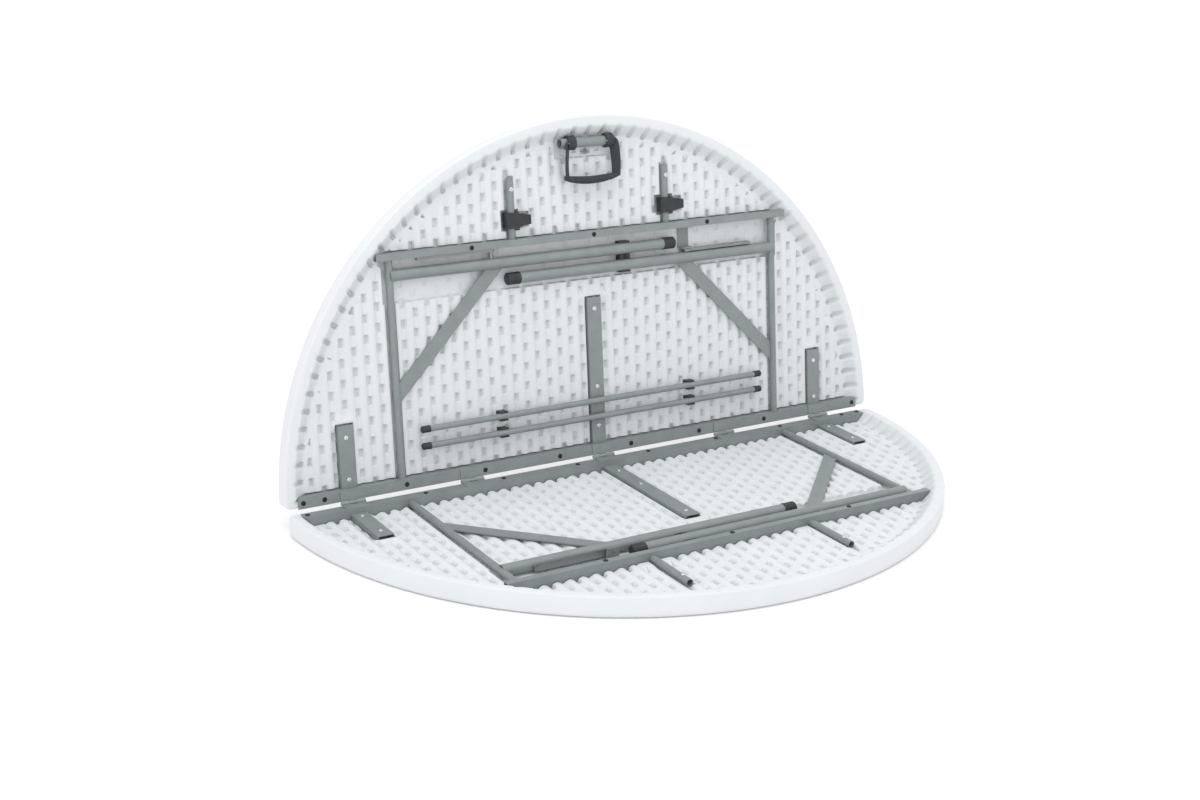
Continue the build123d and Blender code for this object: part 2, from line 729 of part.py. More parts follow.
def make_handle():
    """A soft moulded handle: two collars, two splayed straps and a bowed grip.

    Its frame has x along the bar, y towards the rim and z away from the panel.
    """
    grip_top = grip_drop - grip_rise
    strap_top = Vector(collar_inner + collar_width / 2, -collar_radius / 2, grip_front - grip_depth / 2)
    strap_foot = Vector(grip_half - grip_height / 2, -grip_top, grip_front - grip_depth / 2)
    with BuildPart() as handle:
        for side in (-1, 1):
            start = Vector(side * strap_top.X, strap_top.Y, strap_top.Z)
            run = Vector(side * (strap_foot.X - strap_top.X), strap_foot.Y - strap_top.Y, 0)
            across = Vector(side, 0, 1).normalized()
            face = run.cross(across).normalized()
            with BuildSketch(Plane(origin=start, x_dir=run.cross(face), z_dir=run)):
                Rectangle(strap_width, strap_sheet)
            extrude(amount=run.length)
            with BuildSketch(Plane.YZ.offset(side * (collar_inner + collar_width / 2) - collar_width / 2)):
                Circle(collar_radius)
            extrude(amount=collar_width)
        with BuildSketch(Plane.XY.offset(grip_front - grip_depth)):
            with BuildLine():
                ThreePointArc((-grip_half, -grip_top), (0, -grip_drop), (grip_half, -grip_top))
                Line((grip_half, -grip_top), (grip_half - grip_taper, grip_height - grip_taper - grip_top))
                ThreePointArc(
                    (grip_half - grip_taper, grip_height - grip_taper - grip_top),
                    (0, grip_height - grip_drop),
                    (grip_taper - grip_half, grip_height - grip_taper - grip_top),
                )
                Line((grip_taper - grip_half, grip_height - grip_taper - grip_top), (-grip_half, -grip_top))
            make_face()
        extrude(amount=grip_depth)
        with BuildSketch(Plane.YZ.offset(-table_radius)):
            Circle(handle_bar_radius + running_gap)
        extrude(amount=2 * table_radius, mode=Mode.SUBTRACT)
        with BuildSketch(Plane.YZ.offset(-collar_inner)):
            Circle(collar_radius + free_gap)
        extrude(amount=2 * collar_inner, mode=Mode.SUBTRACT)
        with BuildSketch(Plane.YZ.offset(-collar_inner - collar_width)):
            with Locations((0, (handle_bar_radius + collar_radius) / 2)):
                Circle(collar_screw_radius + fixed_gap)
        extrude(amount=2 * (collar_inner + collar_width), mode=Mode.SUBTRACT)
    return handle


def make_handle_screws():
    """A small screw in the left face of each collar."""
    middle = (0, (handle_bar_radius + collar_radius) / 2)
    with BuildPart() as screws:
        for face in (-collar_inner - collar_width, collar_inner):
            with BuildSketch(Plane.YZ.offset(face)):
                with Locations(middle):
                    Circle(collar_screw_radius)
            extrude(amount=collar_width / 2)
            with BuildSketch(Plane.YZ.offset(face)):
                with Locations(middle):
                    Circle(collar_screw_head_radius)
            extrude(amount=-collar_screw_head)
    return screws


# ---------------------------------------------------------------- tie rods
def make_rod(rod_y):
    """A loose steel tube stored across the upper half."""
    with BuildPart() as rod:
        with BuildSketch(lengthwise(-rod_length / 2 + rod_cap_end)):
            with Locations((rod_y, -rod_depth)):
                Circle(rod_radius)
                Circle(rod_radius - rod_wall, mode=Mode.SUBTRACT)
        extrude(amount=rod_length - 2 * rod_cap_end)
    return rod


def make_rod_caps(rod_y):
    """A cap pushed over each end of a tie rod."""
    with BuildPart() as caps:
        for side in (-1, 1):
            tip = Plane(origin=(side * rod_length / 2, rod_y, -rod_depth), z_dir=(-side, 0, 0))
            with BuildSketch(tip):
                Circle(rod_radius + fixed_gap + rod_cap_wall)
            extrude(amount=rod_cap_length)
            with BuildSketch(tip.offset(rod_cap_end - fixed_gap)):
                Circle(rod_radius + fixed_gap)
            extrude(amount=rod_cap_length, mode=Mode.SUBTRACT)
    return caps


def make_rod_clips():
    """Four open cradles on the floor, two for each tie rod."""
    half = rod_radius + free_gap
    with BuildPart() as clips:
        for clip_centre in (-rod_clip_x, rod_clip_x):
            with BuildSketch(lengthwise(clip_centre - rod_clip_width / 2)):
                for rod_y in rod_ys:
                    with Locations((rod_y, -recess_depth)):
                        Rectangle(
                            2 * (half + rod_clip_wall),
                            recess_depth - rod_clip_top,
                            align=(Align.CENTER, Align.MIN),
                        )
                    with Locations((rod_y, -rod_depth)):
                        Circle(half, mode=Mode.SUBTRACT)
                        Rectangle(2 * half, 2 * half, align=(Align.CENTER, Align.MIN), mode=Mode.SUBTRACT)
            extrude(amount=rod_clip_width)
    return clips


# ---------------------------------------------------------------- fastener groups
def make_rail_screws():
    """The screws through both rails into the panel."""
    with BuildPart() as screws:
        add(screws_at(hinge_rail_points, rail_top, rail_top + sheet + screw_bite - screw_tip_gap))
        add(screws_at(outer_rail_points, rail_top, recess_depth + screw_bite - screw_tip_gap))
    return screws


def make_small_screws(half):
    """The screws through the bars, the stub tubes and the leg clip, and through the handle's foot."""
    tip = recess_depth + screw_bite - screw_tip_gap
    with BuildPart() as screws:
        add(screws_at(centre_bar_points + end_bar_points, bar_top, tip))
        add(screws_at(stub_points, stub_depth - stub_radius - fixed_gap, tip))
        add(screws_at([clip_point], clip_top, tip))
        if half == "upper":
            add(screws_at([handle_tab_point], recess_depth - handle_tab_sheet, tip))
    return screws


# ---------------------------------------------------------------- the two halves
for half, home in homes.items():
    deliver(make_panel(), f"{half}_panel", home)
    deliver(make_hinge_rail(), f"{half}_hinge_rail", home)
    deliver(make_outer_rail(), f"{half}_outer_rail", home)
    deliver(make_bars([0], centre_bar_end, centre_bar_points), f"{half}_centre_bar", home)
    deliver(make_bars([-end_hinge_x, end_hinge_x], end_bar_end, end_bar_points), f"{half}_end_bars", home)
    deliver(make_stay_bracket(), f"{half}_stay_bracket", home)
    deliver(make_leg_clip(), f"{half}_leg_clip", home)
    deliver(make_stub_tubes(), f"{half}_stub_tubes", home)
    deliver(make_rail_screws(), f"{half}_rail_screws", home)
    deliver(make_small_screws(half), f"{half}_small_screws", home)
    deliver(make_hinge_leaves(half == "upper"), f"{half}_hinge_leaves", home)
    deliver(make_hinge_rivets(), f"{half}_hinge_rivets", home)
    for place, side, leg_y, carrier_y, carrier_sheet in (
        ("outer", -1, outer_leg_y, outer_rail_y, sheet),
        ("inner", 1, inner_leg_y, ear_y, link_sheet),
    ):
        deliver(make_crossbar(side), f"{half}_{place}_crossbar", home)
        deliver(make_leg(side, leg_y), f"{half}_{place}_leg", home)
        deliver(make_brace(side, leg_y), f"{half}_{place}_brace", home)
        deliver(make_foot(side, leg_y), f"{half}_{place}_foot", home)
        deliver(make_rail_link(side, carrier_y, carrier_sheet), f"{half}_{place}_rail_link", home)
        deliver(make_leg_link(side, carrier_y, leg_y), f"{half}_{place}_leg_link", home)

# ---------------------------------------------------------------- pieces that only one half has
deliver(make_hinge_pins(), "hinge_pins", lower_home)
deliver(make_latch(-1), "left_latch", upper_home)
deliver(make_latch(1), "right_latch", upper_home)
deliver(make_handle_bar(), "handle_bar", upper_home)
deliver(make_handle(), "handle", handle_home)
deliver(make_handle_screws(), "handle_screws", handle_home)
deliver(make_rod_clips(), "rod_clips", upper_home)
for number, rod_y in enumerate(rod_ys, start=1):
    deliver(make_rod(rod_y), f"tie_rod_{number}", upper_home)
    deliver(make_rod_caps(rod_y), f"tie_rod_{number}_caps", upper_home)
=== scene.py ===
"""Looks for the round fold-in-half table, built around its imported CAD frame.

Each half has its own frame, in millimetres: x along the hinge line, y from the hinge line to the round
rim, z out of the underside. z = 0 is the rim plane, so a depth into the panel is a negative z.
"""

import json
from math import cos, pi, radians, sin, sqrt

import bmesh
import bpy
import numpy as np
from mathutils import Matrix, Vector


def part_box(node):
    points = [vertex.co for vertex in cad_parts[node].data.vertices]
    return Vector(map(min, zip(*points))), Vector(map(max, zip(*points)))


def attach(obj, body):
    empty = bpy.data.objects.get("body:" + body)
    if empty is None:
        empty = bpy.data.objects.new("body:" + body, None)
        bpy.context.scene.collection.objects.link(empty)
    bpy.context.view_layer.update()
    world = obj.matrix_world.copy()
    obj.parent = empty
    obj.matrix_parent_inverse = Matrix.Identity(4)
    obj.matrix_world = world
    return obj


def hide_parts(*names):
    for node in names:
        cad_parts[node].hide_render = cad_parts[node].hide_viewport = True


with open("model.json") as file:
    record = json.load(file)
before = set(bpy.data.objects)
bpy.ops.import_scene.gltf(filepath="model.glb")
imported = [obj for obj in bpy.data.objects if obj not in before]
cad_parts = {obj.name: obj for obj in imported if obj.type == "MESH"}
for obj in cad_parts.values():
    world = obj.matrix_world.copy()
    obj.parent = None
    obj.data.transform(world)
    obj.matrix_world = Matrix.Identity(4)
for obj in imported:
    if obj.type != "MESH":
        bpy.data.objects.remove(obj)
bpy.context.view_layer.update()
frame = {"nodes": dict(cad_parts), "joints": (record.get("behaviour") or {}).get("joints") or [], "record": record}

MM = 0.001

# ---------------------------------------------------------------- the two halves, from the frame
joints = {joint["name"]: joint for joint in frame["joints"]}
hinge = Vector(joints["fold"]["pos_m"])
upper_out = Vector(joints["tie_rod_1_lift"]["axis"]).normalized()
panel_low, panel_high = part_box("lower_panel")
thickness = (panel_high.z - panel_low.z) / MM
radius = (panel_high.x - panel_low.x) / 2 / MM
edge_y = (hinge.y - panel_high.y) / MM
half_gap = hinge.z - panel_high.z


def axes_matrix(origin, x_axis, y_axis, z_axis):
    """A frame in millimetres, as a matrix that takes its points to metres in the row frame."""
    columns = Matrix((x_axis, y_axis, z_axis)).transposed() * MM
    matrix = columns.to_4x4()
    matrix.translation = origin
    return matrix


X = Vector((1, 0, 0))
lower_out = Vector((0, 0, 1))
HALVES = {
    "lower": axes_matrix(hinge - lower_out * half_gap, -X, lower_out.cross(-X), lower_out),
    "upper": axes_matrix(hinge - upper_out * half_gap, X, upper_out.cross(X), upper_out),
}


def points_of(node, half):
    """A CAD node's points in its half's frame."""
    mesh = frame["nodes"][node].data
    flat = np.zeros(3 * len(mesh.vertices))
    mesh.vertices.foreach_get("co", flat)
    inverse = np.array(HALVES[half].inverted())
    return flat.reshape(-1, 3) @ inverse[:3, :3].T + inverse[:3, 3]


def room_of(node, half="lower"):
    """A CAD node's lowest and highest corner in its half's frame."""
    points = points_of(node, half)
    return points.min(0), points.max(0)


# ---------------------------------------------------------------- meshes
def turn_outwards(mesh):
    """Makes the faces of a closed mesh look outwards."""
    work = bmesh.new()
    work.from_mesh(mesh)
    bmesh.ops.recalc_face_normals(work, faces=work.faces)
    work.to_mesh(mesh)
    work.free()


def mesh_object(name, points, faces, half, sharp=radians(40)):
    """A smooth-shaded object from points in a half's frame, with edges over the sharp angle kept."""
    matrix = np.array(HALVES[half])
    world = np.asarray(points, float) @ matrix[:3, :3].T + matrix[:3, 3]
    mesh = bpy.data.meshes.new(name)
    mesh.from_pydata(world.tolist(), [], faces)
    mesh.validate()
    turn_outwards(mesh)
    mesh.shade_smooth()
    mesh.set_sharp_from_angle(angle=sharp)
    made = bpy.data.objects.new(name, mesh)
    bpy.context.scene.collection.objects.link(made)
    return made


def finish_piece(piece, body, slot, material, *nodes):
    """Gives a piece its body and its material, and hides the CAD nodes that it stands for. The slot argument is
    not used.
    """
    piece.data.materials.append(material)
    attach(piece, body)
    if nodes:
        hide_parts(*nodes)
    return piece


# ---------------------------------------------------------------- materials
def node_material(name, roughness, metallic=0.0, specular=0.5):
    """A Principled material whose fixed numbers are set on its own sockets."""
    material = bpy.data.materials.new(name)
    material.use_nodes = True
    shader = material.node_tree.nodes["Principled BSDF"]
    shader.inputs["Roughness"].default_value = roughness
    shader.inputs["Metallic"].default_value = metallic
    shader.inputs["Specular IOR Level"].default_value = specular
    return material, material.node_tree, shader


def add_node(tree, kind, **values):
    """A node with its sockets or properties set by name."""
    node = tree.nodes.new(kind)
    for key, value in values.items():
        if key in node.inputs:
            node.inputs[key].default_value = value
        else:
            setattr(node, key, value)
    return node


def noise(tree, scale, detail=3.0, rough=0.5, stretch=None):
    """Noise over the row frame, so its grain has the same size on every piece."""
    place = add_node(tree, "ShaderNodeTexCoord")
    mapping = add_node(tree, "ShaderNodeMapping")
    if stretch:
        mapping.inputs["Scale"].default_value = stretch
    tree.links.new(place.outputs["Object"], mapping.inputs["Vector"])
    texture = add_node(tree, "ShaderNodeTexNoise", Scale=scale, Detail=detail, Roughness=rough)
    tree.links.new(mapping.outputs["Vector"], texture.inputs["Vector"])
    return texture


def ramp(tree, source, low, high, first, last):
    """Two colours, spread between two levels of a source socket."""
    node = add_node(tree, "ShaderNodeValToRGB")
    node.color_ramp.elements[0].position = low
    node.color_ramp.elements[0].color = (*first, 1)
    node.color_ramp.elements[1].position = high
    node.color_ramp.elements[1].color = (*last, 1)
    tree.links.new(source, node.inputs["Fac"])
    return node


def bump(tree, shader, height, strength, distance):
    """Small relief from a height socket."""
    node = add_node(tree, "ShaderNodeBump", Strength=strength, Distance=distance)
    tree.links.new(height, node.inputs["Height"])
    tree.links.new(node.outputs["Normal"], shader.inputs["Normal"])


def vary_roughness(tree, shader, source, low, high):
    """Roughness that follows a source socket between two values."""
    node = add_node(tree, "ShaderNodeMapRange")
    node.inputs["To Min"].default_value = low
    node.inputs["To Max"].default_value = high
    tree.links.new(source, node.inputs["Value"])
    tree.links.new(node.outputs["Result"], shader.inputs["Roughness"])


def shade(value, factor):
    """A colour made darker or lighter."""
    return tuple(min(1.0, channel * factor) for channel in value)


def moulded_white():
    """Blow-moulded polyethylene: cool white, fine pebble, faint clouding."""
    material, tree, shader = node_material("moulded_white", 0.5, specular=0.3)
    cloud = noise(tree, 9.0, 4.0)
    white = (0.705, 0.733, 0.748)
    colour = ramp(tree, cloud.outputs["Fac"], 0.3, 0.7, shade(white, 0.965), white)
    tree.links.new(colour.outputs["Color"], shader.inputs["Base Color"])
    pebble = noise(tree, 900.0, 2.0)
    bump(tree, shader, pebble.outputs["Fac"], 0.25, 0.0006)
    vary_roughness(tree, shader, cloud.outputs["Fac"], 0.42, 0.6)
    return material


def powder_coat(name, colour):
    """Satin powder coat on steel: slight orange peel and tone."""
    material, tree, shader = node_material(name, 0.42, metallic=0.15)
    tone = noise(tree, 30.0, 5.0)
    paint = ramp(tree, tone.outputs["Fac"], 0.3, 0.7, shade(colour, 0.92), shade(colour, 1.06))
    tree.links.new(paint.outputs["Color"], shader.inputs["Base Color"])
    peel = noise(tree, 1400.0, 2.0)
    bump(tree, shader, peel.outputs["Fac"], 0.15, 0.0004)
    vary_roughness(tree, shader, tone.outputs["Fac"], 0.34, 0.5)
    return material


def zinc_plate(name, colour, roughness):
    """Bright zinc plating with a streaky, uneven shine."""
    material, tree, shader = node_material(name, roughness, metallic=0.9)
    streak = noise(tree, 160.0, 4.0, stretch=(0.25, 1, 1))
    plate = ramp(tree, streak.outputs["Fac"], 0.25, 0.75, shade(colour, 0.8), colour)
    tree.links.new(plate.outputs["Color"], shader.inputs["Base Color"])
    bump(tree, shader, streak.outputs["Fac"], 0.1, 0.0003)
    vary_roughness(tree, shader, streak.outputs["Fac"], roughness * 0.8, roughness * 1.3)
    return material


def black_moulding(name, colour, roughness):
    """Matt black moulded plastic or rubber with a fine grain."""
    material, tree, shader = node_material(name, roughness, specular=0.4)
    grain = noise(tree, 1100.0, 3.0)
    tone = noise(tree, 60.0, 4.0)
    plastic = ramp(tree, tone.outputs["Fac"], 0.3, 0.7, shade(colour, 0.8), shade(colour, 1.25))
    tree.links.new(plastic.outputs["Color"], shader.inputs["Base Color"])
    bump(tree, shader, grain.outputs["Fac"], 0.3, 0.0004)
    vary_roughness(tree, shader, tone.outputs["Fac"], roughness * 0.85, roughness * 1.15)
    return material


steel_grey = (0.235, 0.262, 0.262)
FINISHES = {
    "white_panel": moulded_white(),
    "grey_steel": powder_coat("grey_powder_coat", steel_grey),
    "hinge_steel": powder_coat("hinge_powder_coat", shade(steel_grey, 1.02)),
    "stay_steel": zinc_plate("stay_zinc", (0.31, 0.33, 0.33), 0.38),
    "black_plastic": black_moulding("black_plastic", (0.028, 0.031, 0.034), 0.5),
    "handle_rubber": black_moulding("handle_rubber", (0.032, 0.036, 0.04), 0.6),
    "black_screws": black_moulding("black_screws", (0.012, 0.013, 0.014), 0.4),
    "zinc_screws": zinc_plate("screw_zinc", (0.8, 0.81, 0.83), 0.22),
}


def dress_frame():
    """Gives every CAD node the material of its slot."""
    slots = {part["node"]: part["material_slot"] for part in frame["record"]["subparts"]}
    for node, piece in frame["nodes"].items():
        piece.data.materials.clear()
        piece.data.materials.append(FINISHES[slots[node]])
        piece.data.shade_smooth()
        piece.data.set_sharp_from_angle(angle=radians(35))


# ---------------------------------------------------------------- moulded panel
# ridge field
ridge_pitch = 28.9
pit_pitch = 43.5
pit_phase = 29.0  # first pit of the odd columns
crest_depth = 20.0
valley_depth = 25.5
pit_depth = 32.0
gutter_depth = 22.5
valley_flat = 2.0
pit_bottom_half = 3.7
pit_top_half = 5.7
pit_bottom_length = 7.6
pit_top_length = 10.0
recess_depth = 30.0
latch_pocket_depth = 38.5
far_phase_shift = 10.0  # the pattern beyond the outer rail
ridge_shoulder = 9.2  # an extra grid line on a ridge's flank
ridge_start = 3.0  # first pits after the straight ridge

# rim
mouth = radius - 23.0
slope_rate = 29.0 / 30.0
field_radius = radius - 61.0
patch_radius = radius - 56.0  # where the straight grid meets the rings
rim_round = 3.0
corner_round = 12.0
face_round = 10.0
edge_blend = 1.6  # between the underside and the rim's slope
scoop_count = 61
scoop_half = 6.4
scoop_inner = radius - 49.5
scoop_outer = radius - 17.0
scoop_extra = 15.0

# what stands on the panel, from the frame
hinge_rail_high = room_of("lower_hinge_rail")[1]
outer_rail_low, outer_rail_high = room_of("lower_outer_rail")
bar_high = room_of("lower_centre_bar")[1]
end_bar_high = room_of("lower_end_bars")[1]
crossbar_low, crossbar_high = room_of("lower_inner_crossbar")
stub_low, stub_high = room_of("lower_stub_tubes")
inner_leg_low = room_of("lower_inner_leg")[0]
latch_low, latch_high = room_of("right_latch", "upper")
grip_low, grip_high = room_of("handle_bar", "upper")
collar_high = room_of("handle", "upper")[1]

bar_half = bar_high[0]
end_bar_x = end_bar_high[0] - bar_half
crossbar_x = (crossbar_low[0] + crossbar_high[0]) / 2
crossbar_half = (crossbar_high[0] - crossbar_low[0]) / 2
stub_half = (stub_high[2] - stub_low[2]) / 2
stub_x = stub_high[0] - stub_half
ledge_depth = 4.0
ledge_end = 20.0
ledge_slope = 12.0
edge_steps = (0, 0.4, 1.2, 3)  # grid lines across the straight edge's round
band_start = inner_leg_low[1] - 9.0
band_half = crossbar_x + 14.0
soft = 2.0


def ease(t):
    """A smooth step from 0 to 1."""
    t = np.clip(t, 0, 1)
    return t * t * (3 - 2 * t)


def inside(value, low, high, blend):
    """1 between low and high, falling to 0 over blend outside them."""
    return ease((value - low) / blend + 1) * ease((high - value) / blend + 1)


def lowered_places(half):
    """Boxes (x from, x to, y from, y to, depth) that are sunk for the hardware of a half."""
    groove = crossbar_half + 2.5
    groove_half = stub_half + 1.5
    groove_depth = recess_depth - 2
    rail_end = outer_rail_high[0]
    places = [
        (-band_half, band_half, band_start, outer_rail_low[1], recess_depth),
        (-rail_end, rail_end, outer_rail_low[1], outer_rail_high[1] + 0.5, recess_depth),
        (-mouth, mouth, 0, hinge_rail_high[1] + 0.5, recess_depth),
        (-bar_half - 1, bar_half + 1, 0, bar_high[1] + 1, recess_depth),
    ]
    for side in (-1, 1):
        x = side * crossbar_x
        places.append((x - groove, x + groove, 0, outer_rail_low[1], groove_depth))
        x = side * end_bar_x
        places.append((x - bar_half - 1, x + bar_half + 1, 0, end_bar_high[1] + 1, recess_depth))
        x = side * stub_x
        places.append((x - groove_half, x + groove_half, outer_rail_high[1], stub_high[1] + 2, groove_depth))
    if half == "upper":
        start, end = latch_low[1], latch_high[1]
        tail = latch_high[0] - stub_x
        block = stub_x - latch_low[0]
        for side in (-1, 1):
            x = side * stub_x
            places.append((x - block - 5, x + block + 5, start - 4, end + 4, latch_pocket_depth))
            places.append((x, x + tail + 2, start + 2, end - 2, recess_depth + 0.5))
        places.append((grip_low[0] - 6, grip_high[0] + 6, grip_low[1] - 5, collar_high[1] + 3, groove_depth))
    return places


def pads():
    """Boxes (x from, x to, y from, y to) without ridges or pits."""
    found = [(-35, 35, bar_high[1] + 1, bar_high[1] + 12)]
    for side in (-1, 1):
        x = side * stub_x
        found.append((x - 36, x + 36, outer_rail_high[1], outer_rail_high[1] + 22))
        x = side * end_bar_x
        found.append((x - 24, x + 24, end_bar_high[1], end_bar_high[1] + 10))
    return found


def depth_of(x, y, half):
    """How deep the moulded underside lies below the rim plane."""
    r = np.hypot(x, y)
    column = np.round(x / ridge_pitch)
    across = np.abs(x - column * ridge_pitch)
    crest_share = np.clip((across - valley_flat) / (ridge_pitch / 2 - valley_flat), 0, 1)
    far = y > outer_rail_high[1] - soft
    phase = pit_phase + np.where(column % 2 == 0, pit_pitch / 2, 0) + np.where(far, far_phase_shift, 0)
    along = np.abs((y - phase + pit_pitch / 2) % pit_pitch - pit_pitch / 2)
    padded = np.zeros_like(r)
    for x0, x1, y0, y1 in pads():
        padded = np.maximum(padded, inside(x, x0, x1, soft) * inside(y, y0, y1, soft))
    valley = (valley_depth - crest_depth) * (1 - np.sin(crest_share * pi / 2)) * (1 - padded)
    pit = 1 - ease((across - pit_bottom_half) / (pit_top_half - pit_bottom_half))
    pit = pit * (1 - ease((along - pit_bottom_length) / (pit_top_length - pit_bottom_length))) * (1 - padded)
    head_end = field_radius - 8 + 10 * np.sin(crest_share * pi / 2)
    head = ease((head_end - r) / 4)
    depth = gutter_depth + (crest_depth + valley - gutter_depth) * head
    floor = np.zeros_like(r)
    for x0, x1, y0, y1, level in lowered_places(half):
        share = inside(x, x0, x1, soft) * inside(y, y0, y1, soft)
        floor = np.maximum(floor, crest_depth + (level - crest_depth) * share)
    depth = np.maximum(depth, floor)
    pit = pit * ease((field_radius + 3 - r) / 2)
    depth = depth + np.maximum(pit_depth - depth, 0) * pit
    slope = (mouth - r) / slope_rate
    slope = 0.5 * (slope + np.sqrt(slope**2 + 4.0))
    depth = depth - np.log1p(np.exp(np.clip((depth - slope) / edge_blend, -40, 40))) * edge_blend
    return np.maximum(depth, 0)


def scoops(r, theta):
    """What the scoops round the rim's slope take out."""
    pitch = pi / scoop_count
    away = np.abs((theta / pitch) % 1 - 0.5) * pitch * r
    width = scoop_half * np.sqrt(np.clip((r - scoop_inner) / 7, 1e-6, 1))
    section = np.sqrt(np.clip(1 - (away / width) ** 2, 0, 1))
    reach = ease((r - scoop_inner) / 6) * ease((scoop_outer - r) / 22)
    return scoop_extra * section * reach


def ledge(depth, y):
    """The straight ridge under the hinge rail."""
    return np.minimum(depth, ledge_depth + np.maximum(y - ledge_end, 0) * ledge_slope)


def corner_centre():
    """Centre of the round in the panel's right corner."""
    y = edge_y + corner_round
    return sqrt((radius - corner_round) ** 2 - y**2), y


def edge_distance(x, y):
    """Distance in from the panel's outline."""
    near = np.minimum(radius - np.hypot(x, y), y - edge_y)
    cx, cy = corner_centre()
    beyond = (np.abs(x) > cx) & (y < cy)
    return np.where(beyond, corner_round - np.hypot(np.abs(x) - cx, y - cy), near)


def round_over(distance):
    """How far the rim's rounded outer edge has dropped at a distance from the outline."""
    inner = np.clip(rim_round - distance, 0, rim_round)
    return rim_round - np.sqrt(np.maximum(rim_round**2 - inner**2, 0))


def merge_lines(pattern, fixed, clear=0.9):
    """Grid lines: all the fixed ones, and those of the pattern that aren't crowded by them."""
    fixed = np.unique(np.round(fixed, 3))
    gaps = np.abs(np.subtract.outer(pattern, fixed)).min(1)
    return np.unique(np.concatenate([fixed, np.asarray(pattern)[gaps > clear]]))


def grid_lines(half):
    """The x and y lines of the straight grid, on the edges of pits, ridges and sunk places."""
    offsets = [valley_flat, pit_bottom_half, pit_top_half, ridge_shoulder]
    last = int(patch_radius / ridge_pitch) + 1
    xs = [k * ridge_pitch + s * o for k in range(-last, last + 1) for o in offsets for s in (-1, 1)]
    xs += [(k + 0.5) * ridge_pitch for k in range(-last, last)]
    ys = []
    for row in range(2 * int(radius / pit_pitch) + 2):
        middle = pit_phase + row * pit_pitch / 2
        middle += far_phase_shift if middle > outer_rail_high[1] - far_phase_shift else 0
        ys += [middle + s * o for o in (pit_bottom_length, pit_top_length) for s in (-1, 1)]
    fixed_x = []
    fixed_y = [edge_y + step for step in edge_steps] + [ledge_end - 1, ledge_end, ledge_end + 2.2]
    for x0, x1, y0, y1, _ in lowered_places(half):
        fixed_x += [x0 - soft, x0, x1, x1 + soft]
        fixed_y += [y0 - soft, y0, y1, y1 + soft]
    xs = merge_lines(xs, [x for x in fixed_x if abs(x) < patch_radius])
    ys = [y for y in ys if y > ledge_end + ridge_start]
    ys = merge_lines(ys, [y for y in fixed_y if edge_y <= y < patch_radius])
    return xs[np.abs(xs) < patch_radius], ys[ys < patch_radius]


def ring_angles():
    """Angles round the rim, close together across each scoop."""
    pitch = pi / scoop_count
    arcs = np.array([-14.0, -9.5, -6.6, -5.2, -3.2, 0, 3.2, 5.2, 6.6, 9.5, 14.0, 18.5]) / radius
    thetas = ((np.arange(scoop_count)[:, None] + 0.5) * pitch + arcs[None, :]).ravel()
    start = (edge_y + 4.5) / patch_radius
    return np.sort(thetas[(thetas > start) & (thetas < pi - start)])


RING_INSETS = [53, 51, 48.6, 46, 43.5, 40.5, 37, 33, 29, 26, 24, 22, 20, 17, 12, 6, 3, 2, 1.1, 0.4, 0]


def zipper(inner, outer, angles):
    """Triangles between two chains that run the same way round."""
    faces, i, j = [], 0, 0
    while i < len(inner) - 1 or j < len(outer) - 1:
        step_inner = j == len(outer) - 1 or (
            i < len(inner) - 1 and angles[inner[i + 1]] < angles[outer[j + 1]]
        )
        if step_inner:
            faces.append((inner[i], outer[j], inner[i + 1]))
            i += 1
        else:
            faces.append((inner[i], outer[j], outer[j + 1]))
            j += 1
    return faces


def patch(half):
    """The straight grid inside the rings: its points, its faces and its boundary chains."""
    xs, ys = grid_lines(half)
    gx, gy = np.meshgrid(xs, ys, indexing="ij")
    fits = np.hypot(gx, gy) <= patch_radius
    whole = fits[:-1, :-1] & fits[1:, :-1] & fits[:-1, 1:] & fits[1:, 1:]
    columns = [i for i in range(len(xs) - 1) if whole[i, 0]]
    tops = {i: int(whole[i].sum()) for i in columns}
    index = np.full(gx.shape, -1)
    points, faces = [], []

    def vertex(i, j):
        if index[i, j] < 0:
            index[i, j] = len(points)
            points.append((xs[i], ys[j]))
        return int(index[i, j])

    for i in columns:
        for j in range(tops[i]):
            faces.append((vertex(i, j), vertex(i + 1, j), vertex(i + 1, j + 1), vertex(i, j + 1)))
    chain = [(columns[-1] + 1, 0)]
    for i in reversed(columns):
        while chain[-1][1] != tops[i]:
            chain.append((chain[-1][0], chain[-1][1] + (1 if chain[-1][1] < tops[i] else -1)))
        chain.append((i, tops[i]))
    while chain[-1][1] > 0:
        chain.append((chain[-1][0], chain[-1][1] - 1))
    base = [vertex(i, 0) for i in range(columns[0], columns[-1] + 2)]
    return points, faces, [vertex(i, j) for i, j in chain], base


def rings(first):
    """The rings round the rim: their points, their faces and the rows of their point numbers."""
    thetas = ring_angles()
    points, rows = [], []
    cx, cy = corner_centre()
    for inset in RING_INSETS:
        r = radius - inset
        starts = [np.arcsin((edge_y + d) / r) for d in edge_steps]
        angles = starts + list(thetas) + [pi - a for a in reversed(starts)]
        rows.append([first + len(points) + k for k in range(len(angles))])
        for angle in angles:
            x, y = r * cos(angle), r * sin(angle)
            a, b = abs(x) - cx, cy - y
            if a > 0 and b > 0:
                squeeze = max(a, b) / sqrt(a * a + b * b)
                x = (1 if x > 0 else -1) * (cx + a * squeeze)
                y = cy - b * squeeze
            points.append((x, y))
    faces = [
        (low[k], high[k], high[k + 1], low[k + 1])
        for low, high in zip(rows, rows[1:])
        for k in range(len(low) - 1)
    ]
    return points, faces, rows


